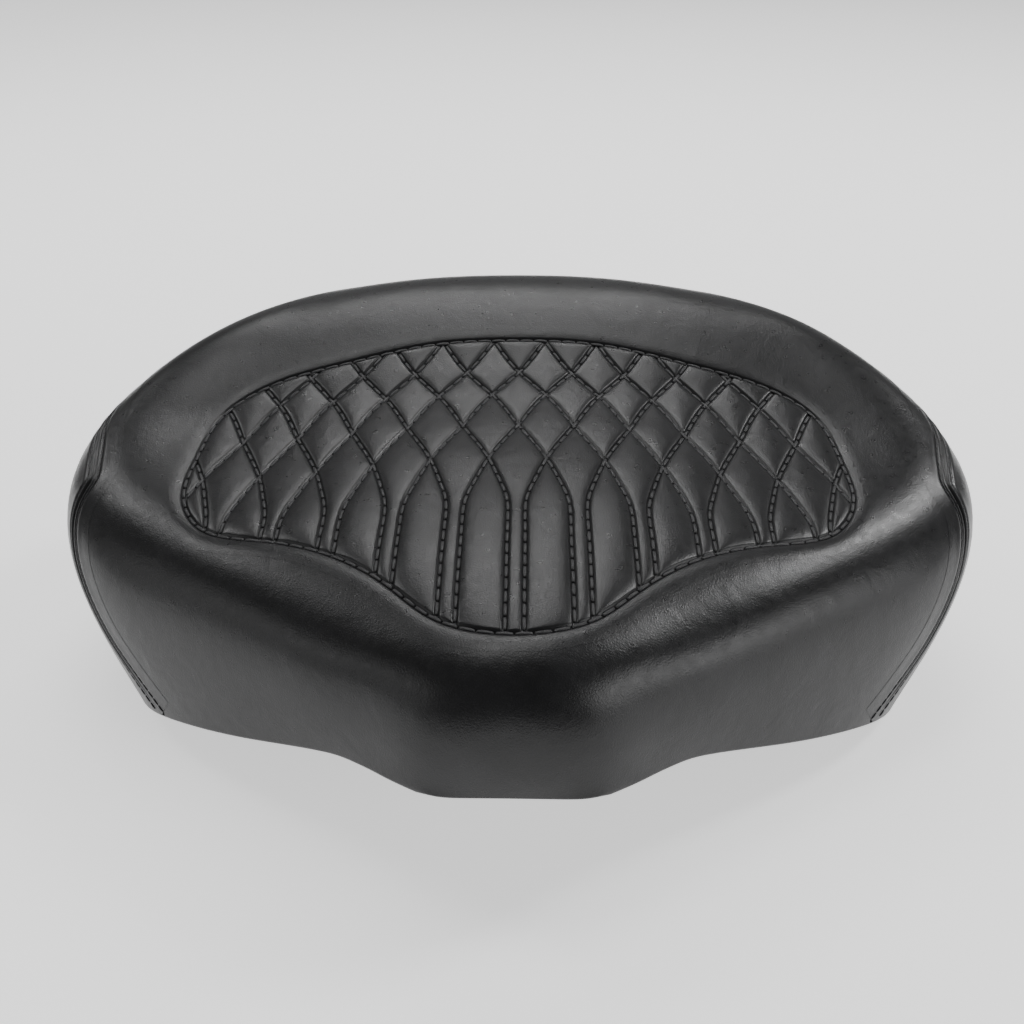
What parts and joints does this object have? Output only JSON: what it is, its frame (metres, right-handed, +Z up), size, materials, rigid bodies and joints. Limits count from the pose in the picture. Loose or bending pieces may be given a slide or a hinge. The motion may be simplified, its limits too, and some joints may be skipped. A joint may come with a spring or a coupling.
{
  "type": "motorcycle seat",
  "caption": "Solo motorcycle seat with a moulded pan, foam cushion, raised rear rim and sewn vinyl cover with a quilted inlay.",
  "frame": {"origin": "on the resting plane, under the middle of the seat's outer box", "axes": "+Z up, +Y to the rear of the motorcycle, the nose points to -Y, +X across; the seat is symmetric left to right"},
  "size_m": [0.4126, 0.376, 0.146],
  "materials": {
    "vinyl": "black vinyl, fine leather grain, satin",
    "vinyl_inlay": "black vinyl, fine leather grain, quilted",
    "scrim": "foam-backed scrim",
    "soft_foam": "soft open-cell foam",
    "moulded_foam": "moulded polyurethane foam",
    "pan_plastic": "moulded black plastic, fine texture",
    "staple_steel": "bright wire",
    "bumper_rubber": "moulded black rubber",
    "bracket_steel": "black powder coat",
    "zinc_steel": "zinc plated",
    "insert_brass": "knurled brass"
  },
  "bodies": {
    "root": {"cover_top": "vinyl", "quilted_inlay": "vinyl_inlay", "side_skirt_left": "vinyl", "side_skirt_right": "vinyl", "inlay_scrim": "scrim", "comfort_foam": "soft_foam", "main_foam": "moulded_foam", "seat_pan": "pan_plastic", "hem_staples": "staple_steel", "bumpers_front": "bumper_rubber", "bumpers_middle": "bumper_rubber", "bumpers_rear": "bumper_rubber", "bumper_screws": "zinc_steel", "front_tongue": "bracket_steel", "rear_bracket": "bracket_steel", "front_bolts": "zinc_steel", "rear_bolts": "zinc_steel", "bracket_washers": "zinc_steel", "threaded_inserts": "insert_brass"}
  },
  "joints": []
}
